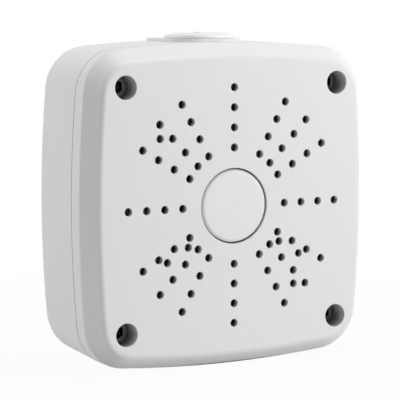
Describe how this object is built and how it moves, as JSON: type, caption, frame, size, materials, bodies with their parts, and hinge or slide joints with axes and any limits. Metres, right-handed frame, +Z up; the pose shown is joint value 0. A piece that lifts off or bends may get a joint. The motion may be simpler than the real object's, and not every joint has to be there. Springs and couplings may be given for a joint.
{
  "type": "camera junction box",
  "caption": "Square bowed metal wall box with a bevelled cover that carries a camera, round centre cable plug, sunk corner screws, camera fixing holes and a plugged top entry.",
  "frame": {"origin": "middle of the four wall screw holes, in the plane of the back that lies on the wall", "axes": "+Y into the wall, +Z up towards the top cable entry, +X to the right seen from the front"},
  "size_m": [0.1348, 0.045, 0.1388],
  "materials": {
    "cast_paint": "white powder coat on cast aluminium, satin",
    "plug_plastic": "white moulded plastic, satin",
    "seal_rubber": "black rubber",
    "grommet_rubber": "dark grey moulded rubber",
    "screw_steel": "stainless steel",
    "clip_nylon": "natural nylon",
    "earth_brass": "bare brass"
  },
  "bodies": {
    "case": {"back_box": "cast_paint", "rear_grommet": "grommet_rubber", "earth_screw": "earth_brass", "earth_washer": "earth_brass", "earth_spring_washer": "screw_steel"},
    "cover": {"cover": "cast_paint", "cover_gasket": "seal_rubber", "retaining_washer_1": "clip_nylon", "retaining_washer_2": "clip_nylon", "retaining_washer_3": "clip_nylon", "retaining_washer_4": "clip_nylon"},
    "centre_plug": {"centre_plug": "plug_plastic", "centre_plug_seal": "seal_rubber"},
    "side_plug_seal": {"side_plug_seal": "seal_rubber"},
    "side_plug": {"side_plug": "plug_plastic"},
    "screw_seal_1": {"screw_seal_1": "seal_rubber"},
    "cover_screw_1": {"cover_screw_1": "screw_steel"},
    "screw_seal_2": {"screw_seal_2": "seal_rubber"},
    "cover_screw_2": {"cover_screw_2": "screw_steel"},
    "screw_seal_3": {"screw_seal_3": "seal_rubber"},
    "cover_screw_3": {"cover_screw_3": "screw_steel"},
    "screw_seal_4": {"screw_seal_4": "seal_rubber"},
    "cover_screw_4": {"cover_screw_4": "screw_steel"}
  },
  "joints": [
    {"name": "cover_lift", "type": "slide", "parent": "case", "child": "cover", "axis": [0, -1, 0], "range_m": [0, 0.06]},
    {"name": "centre_plug_pull", "type": "slide", "parent": "cover", "child": "centre_plug", "axis": [0, -1, 0], "range_m": [0, 0.02]},
    {"name": "side_plug_rise", "type": "slide", "parent": "case", "child": "side_plug_seal", "axis": [0, 0, 1], "range_m": [0, 0.0115]},
    {"name": "side_plug_turn", "type": "hinge", "parent": "side_plug_seal", "child": "side_plug", "pos_m": [0, -0.015, 0.0689], "axis": [0, 0, 1], "range_deg": [0, 2282.7]},
    {"name": "screw_1_back_out", "type": "slide", "parent": "cover", "child": "screw_seal_1", "axis": [0, -1, 0], "range_m": [0, 0.007]},
    {"name": "screw_1_turn", "type": "hinge", "parent": "screw_seal_1", "child": "cover_screw_1", "pos_m": [0.05, -0.035, 0.05], "axis": [0, -1, 0], "range_deg": [0, 2520.5]},
    {"name": "screw_2_back_out", "type": "slide", "parent": "cover", "child": "screw_seal_2", "axis": [0, -1, 0], "range_m": [0, 0.007]},
    {"name": "screw_2_turn", "type": "hinge", "parent": "screw_seal_2", "child": "cover_screw_2", "pos_m": [0.05, -0.035, -0.05], "axis": [0, -1, 0], "range_deg": [0, 2520.5]},
    {"name": "screw_3_back_out", "type": "slide", "parent": "cover", "child": "screw_seal_3", "axis": [0, -1, 0], "range_m": [0, 0.007]},
    {"name": "screw_3_turn", "type": "hinge", "parent": "screw_seal_3", "child": "cover_screw_3", "pos_m": [-0.05, -0.035, 0.05], "axis": [0, -1, 0], "range_deg": [0, 2520.5]},
    {"name": "screw_4_back_out", "type": "slide", "parent": "cover", "child": "screw_seal_4", "axis": [0, -1, 0], "range_m": [0, 0.007]},
    {"name": "screw_4_turn", "type": "hinge", "parent": "screw_seal_4", "child": "cover_screw_4", "pos_m": [-0.05, -0.035, -0.05], "axis": [0, -1, 0], "range_deg": [0, 2520.5]}
  ],
  "couplings": [
    {"joint": "side_plug_turn", "follows": "side_plug_rise", "rad_per_m": 3463.7},
    {"joint": "screw_1_turn", "follows": "screw_1_back_out", "rad_per_m": 6283.2},
    {"joint": "screw_2_turn", "follows": "screw_2_back_out", "rad_per_m": 6283.2},
    {"joint": "screw_3_turn", "follows": "screw_3_back_out", "rad_per_m": 6283.2},
    {"joint": "screw_4_turn", "follows": "screw_4_back_out", "rad_per_m": 6283.2}
  ]
}
